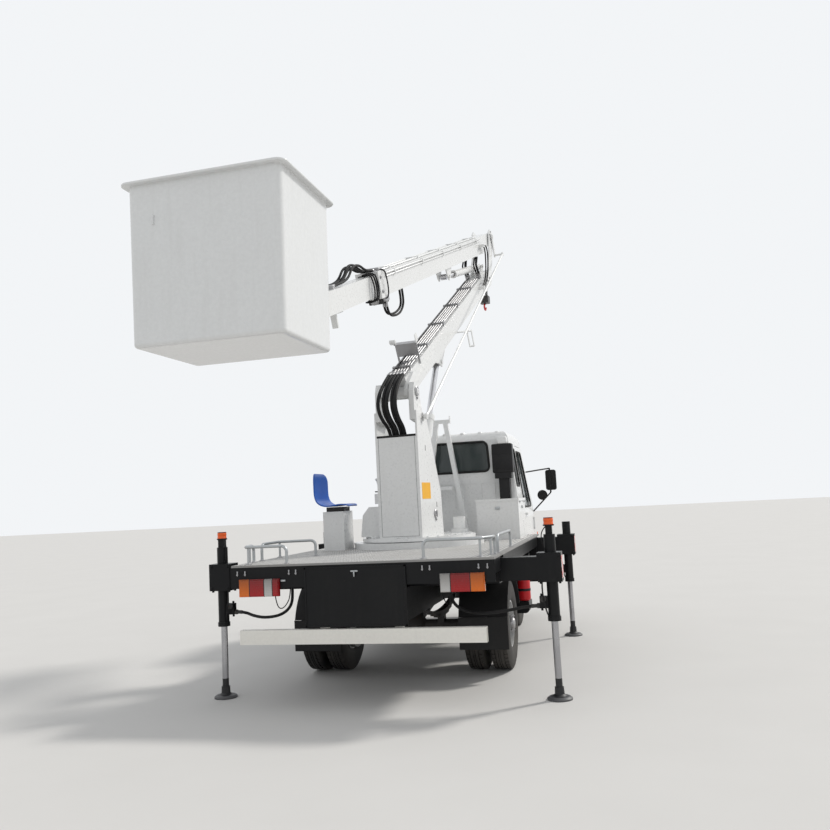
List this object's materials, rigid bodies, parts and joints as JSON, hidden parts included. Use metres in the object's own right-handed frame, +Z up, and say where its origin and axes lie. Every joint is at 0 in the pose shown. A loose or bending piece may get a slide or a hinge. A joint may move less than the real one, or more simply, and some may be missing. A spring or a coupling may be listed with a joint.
{
  "type": "cherry picker truck",
  "caption": "Narrow light truck with deck, jack outriggers, slewing turret, folding lift boom with telescopic tip, and a glass-fibre work bucket.",
  "frame": {"origin": "on the ground, below the middle of the whole truck's bounding box, on the truck's centreline", "axes": "+X to the truck's right, +Y forward, +Z up"},
  "size_m": [3.024, 6.7668, 5.258],
  "materials": {
    "bare_steel": "satin",
    "black_paint": "satin",
    "black_plastic": "matt",
    "cast_metal": "rough",
    "chequer_plate": "satin",
    "chrome_rod": "polished",
    "cream_paint": "gloss",
    "fibreglass": "gloss",
    "galvanised": "dull",
    "hook_red": "gloss",
    "hose_rubber": "matt",
    "lamp_lens": "gloss",
    "rim_silver": "satin",
    "seat_blue": "matt",
    "trim_grey": "matt",
    "tyre_rubber": "matt",
    "white_paint": "gloss",
    "window_glass": "clear"
  },
  "bodies": {
    "chassis": {"chassis_frame": "black_paint", "axles": "cast_metal", "engine": "cast_metal", "fuel_tank": "black_paint", "side_locker": "black_paint", "deck_frame": "black_paint", "outrigger_sleeves": "black_paint", "deck_plate": "chequer_plate", "mudguards": "black_plastic", "under_ride_bar": "cream_paint", "tail_lamps": "lamp_lens", "deck_rails": "galvanised", "deck_cabinet": "white_paint", "boom_rest": "white_paint", "operator_seat": "seat_blue", "slew_base": "white_paint"},
    "cab": {"cab_shell": "white_paint", "cab_glass": "window_glass", "cab_interior": "trim_grey", "cab_front": "black_plastic", "mirrors": "black_plastic", "air_intake": "black_plastic"},
    "door_left": {"door_left": "white_paint", "door_glass_left": "window_glass"},
    "door_right": {"door_right": "white_paint", "door_glass_right": "window_glass"},
    "knuckle_left": {"steering_knuckle_left": "cast_metal"},
    "knuckle_right": {"steering_knuckle_right": "cast_metal"},
    "wheel_front_left": {"tyre_front_left": "tyre_rubber", "rim_front_left": "rim_silver"},
    "wheel_front_right": {"tyre_front_right": "tyre_rubber", "rim_front_right": "rim_silver"},
    "wheels_rear_left": {"tyres_rear_left": "tyre_rubber", "rims_rear_left": "rim_silver"},
    "wheels_rear_right": {"tyres_rear_right": "tyre_rubber", "rims_rear_right": "rim_silver"},
    "turret": {"turret": "white_paint", "turret_hoses": "hose_rubber"},
    "lower_boom": {"lower_boom": "white_paint", "boom_pipes": "bare_steel", "elbow_hoses": "hose_rubber"},
    "hook_block": {"hook_block": "hook_red"},
    "lift_barrel": {"lift_barrel": "white_paint"},
    "lift_rod": {"lift_rod": "chrome_rod"},
    "fold_barrel": {"fold_barrel": "white_paint"},
    "fold_rod": {"fold_rod": "chrome_rod"},
    "level_rod": {"level_rod": "white_paint"},
    "elbow_lever": {"elbow_lever": "white_paint"},
    "upper_boom": {"upper_boom": "white_paint"},
    "inner_boom": {"inner_boom": "white_paint"},
    "tip_mast": {"tip_mast": "white_paint"},
    "bucket": {"bucket": "fibreglass"},
    "outrigger_beam_rear_left": {"outrigger_beam_rear_left": "black_paint"},
    "outrigger_leg_rear_left": {"outrigger_leg_rear_left": "chrome_rod"},
    "outrigger_beam_rear_right": {"outrigger_beam_rear_right": "black_paint"},
    "outrigger_leg_rear_right": {"outrigger_leg_rear_right": "chrome_rod"},
    "outrigger_beam_front_left": {"outrigger_beam_front_left": "black_paint"},
    "outrigger_leg_front_left": {"outrigger_leg_front_left": "chrome_rod"},
    "outrigger_beam_front_right": {"outrigger_beam_front_right": "black_paint"},
    "outrigger_leg_front_right": {"outrigger_leg_front_right": "chrome_rod"}
  },
  "joints": [
    {"name": "slew", "type": "hinge", "parent": "chassis", "child": "turret", "pos_m": [0, 0.05733, 1.156], "axis": [0, 0, 1], "continuous": true},
    {"name": "lower_boom_lift", "type": "hinge", "parent": "turret", "child": "lower_boom", "pos_m": [-0.04536, -0.36021, 2.574], "axis": [0.9942, -0.108, 0], "range_deg": [-28.4, 40.7], "deforming": ["turret_hoses"]},
    {"name": "upper_boom_fold", "type": "hinge", "parent": "lower_boom", "child": "upper_boom", "pos_m": [0.34883, 3.26839, 5.16602], "axis": [-0.9942, 0.108, 0], "range_deg": [-7.8, 80], "deforming": ["elbow_hoses"]},
    {"name": "boom_extend", "type": "slide", "parent": "upper_boom", "child": "inner_boom", "axis": [-0.101, -0.9294, -0.3551], "range_m": [-0.75, 1.6]},
    {"name": "bucket_level", "type": "hinge", "parent": "inner_boom", "child": "tip_mast", "pos_m": [-0.2403, -2.15471, 3.03], "axis": [0.9942, -0.108, 0], "range_deg": [-46, 110]},
    {"name": "bucket_swing", "type": "hinge", "parent": "tip_mast", "child": "bucket", "pos_m": [-0.26244, -2.35852, 3.03], "axis": [0, 0, 1], "range_deg": [-45, 45]},
    {"name": "lift_barrel_tilt", "type": "hinge", "parent": "turret", "child": "lift_barrel", "pos_m": [-0.0108, -0.04209, 1.4], "axis": [0.9942, -0.108, 0], "range_deg": [-20, 30]},
    {"name": "lift_rod_slide", "type": "slide", "parent": "lift_barrel", "child": "lift_rod", "axis": [0.0539, 0.4966, 0.8663], "range_m": [-0.45, 0.62]},
    {"name": "fold_barrel_tilt", "type": "hinge", "parent": "lower_boom", "child": "fold_barrel", "pos_m": [0.30996, 2.91056, 4.66005], "axis": [-0.9942, 0.108, 0], "range_deg": [-12, 92]},
    {"name": "fold_rod_slide", "type": "slide", "parent": "fold_barrel", "child": "fold_rod", "axis": [-0.1024, -0.943, -0.3166], "range_m": [-0.12, 0.85]},
    {"name": "level_rod_swing", "type": "hinge", "parent": "turret", "child": "level_rod", "pos_m": [0.21398, -0.2878, 2.334], "axis": [0.9942, -0.108, 0], "range_deg": [-30, 42]},
    {"name": "elbow_lever_turn", "type": "hinge", "parent": "lower_boom", "child": "elbow_lever", "pos_m": [0.48702, 3.25338, 5.16602], "axis": [0.9942, -0.108, 0], "range_deg": [-42, 30]},
    {"name": "hook_swing", "type": "hinge", "parent": "lower_boom", "child": "hook_block", "pos_m": [0.34071, 3.19363, 4.46163], "axis": [0.9942, -0.108, 0], "range_deg": [-45, 45]},
    {"name": "steer_left", "type": "hinge", "parent": "chassis", "child": "knuckle_left", "pos_m": [-0.52, 2.07733, 0.395], "axis": [0, 0, 1], "range_deg": [-30, 30]},
    {"name": "wheel_spin_front_left", "type": "hinge", "parent": "knuckle_left", "child": "wheel_front_left", "pos_m": [-0.6295, 2.07733, 0.395], "axis": [1, 0, 0], "continuous": true},
    {"name": "wheel_spin_rear_left", "type": "hinge", "parent": "chassis", "child": "wheels_rear_left", "pos_m": [-0.765, -0.44267, 0.395], "axis": [1, 0, 0], "continuous": true},
    {"name": "door_left_swing", "type": "hinge", "parent": "cab", "child": "door_left", "pos_m": [-0.858, 2.87933, 1.2], "axis": [0, 0, -1], "range_deg": [0, 65]},
    {"name": "steer_right", "type": "hinge", "parent": "chassis", "child": "knuckle_right", "pos_m": [0.52, 2.07733, 0.395], "axis": [0, 0, 1], "range_deg": [-30, 30]},
    {"name": "wheel_spin_front_right", "type": "hinge", "parent": "knuckle_right", "child": "wheel_front_right", "pos_m": [0.6295, 2.07733, 0.395], "axis": [1, 0, 0], "continuous": true},
    {"name": "wheel_spin_rear_right", "type": "hinge", "parent": "chassis", "child": "wheels_rear_right", "pos_m": [0.765, -0.44267, 0.395], "axis": [1, 0, 0], "continuous": true},
    {"name": "door_right_swing", "type": "hinge", "parent": "cab", "child": "door_right", "pos_m": [0.858, 2.87933, 1.2], "axis": [0, 0, 1], "range_deg": [0, 65]},
    {"name": "cab_tilt", "type": "hinge", "parent": "chassis", "child": "cab", "pos_m": [0, 3.11733, 0.59], "axis": [-1, 0, 0], "range_deg": [0, 45]},
    {"name": "outrigger_slide_rear_left", "type": "slide", "parent": "chassis", "child": "outrigger_beam_rear_left", "axis": [-1, 0, 0], "range_m": [-0.158, 0.39]},
    {"name": "outrigger_jack_rear_left", "type": "slide", "parent": "outrigger_beam_rear_left", "child": "outrigger_leg_rear_left", "axis": [0, 0, 1], "range_m": [0, 0.42]},
    {"name": "outrigger_slide_rear_right", "type": "slide", "parent": "chassis", "child": "outrigger_beam_rear_right", "axis": [1, 0, 0], "range_m": [-0.265, 0.283]},
    {"name": "outrigger_jack_rear_right", "type": "slide", "parent": "outrigger_beam_rear_right", "child": "outrigger_leg_rear_right", "axis": [0, 0, 1], "range_m": [0, 0.42]},
    {"name": "outrigger_slide_front_left", "type": "slide", "parent": "chassis", "child": "outrigger_beam_front_left", "axis": [-1, 0, 0], "range_m": [-0.265, 0.283]},
    {"name": "outrigger_jack_front_left", "type": "slide", "parent": "outrigger_beam_front_left", "child": "outrigger_leg_front_left", "axis": [0, 0, 1], "range_m": [0, 0.42]},
    {"name": "outrigger_slide_front_right", "type": "slide", "parent": "chassis", "child": "outrigger_beam_front_right", "axis": [1, 0, 0], "range_m": [-0.21, 0.338]},
    {"name": "outrigger_jack_front_right", "type": "slide", "parent": "outrigger_beam_front_right", "child": "outrigger_leg_front_right", "axis": [0, 0, 1], "range_m": [0, 0.42]}
  ],
  "couplings": [
    {"joint": "lift_barrel_tilt", "follows": "lower_boom_lift", "ratio": 0.55},
    {"joint": "lift_rod_slide", "follows": "lower_boom_lift", "m_per_rad": 0.8},
    {"joint": "fold_barrel_tilt", "follows": "upper_boom_fold", "ratio": 1.06},
    {"joint": "fold_rod_slide", "follows": "upper_boom_fold", "m_per_rad": 0.55},
    {"joint": "level_rod_swing", "follows": "lower_boom_lift", "ratio": 1},
    {"joint": "elbow_lever_turn", "follows": "lower_boom_lift", "ratio": -1},
    {"joint": "steer_right", "follows": "steer_left", "ratio": 1}
  ]
}
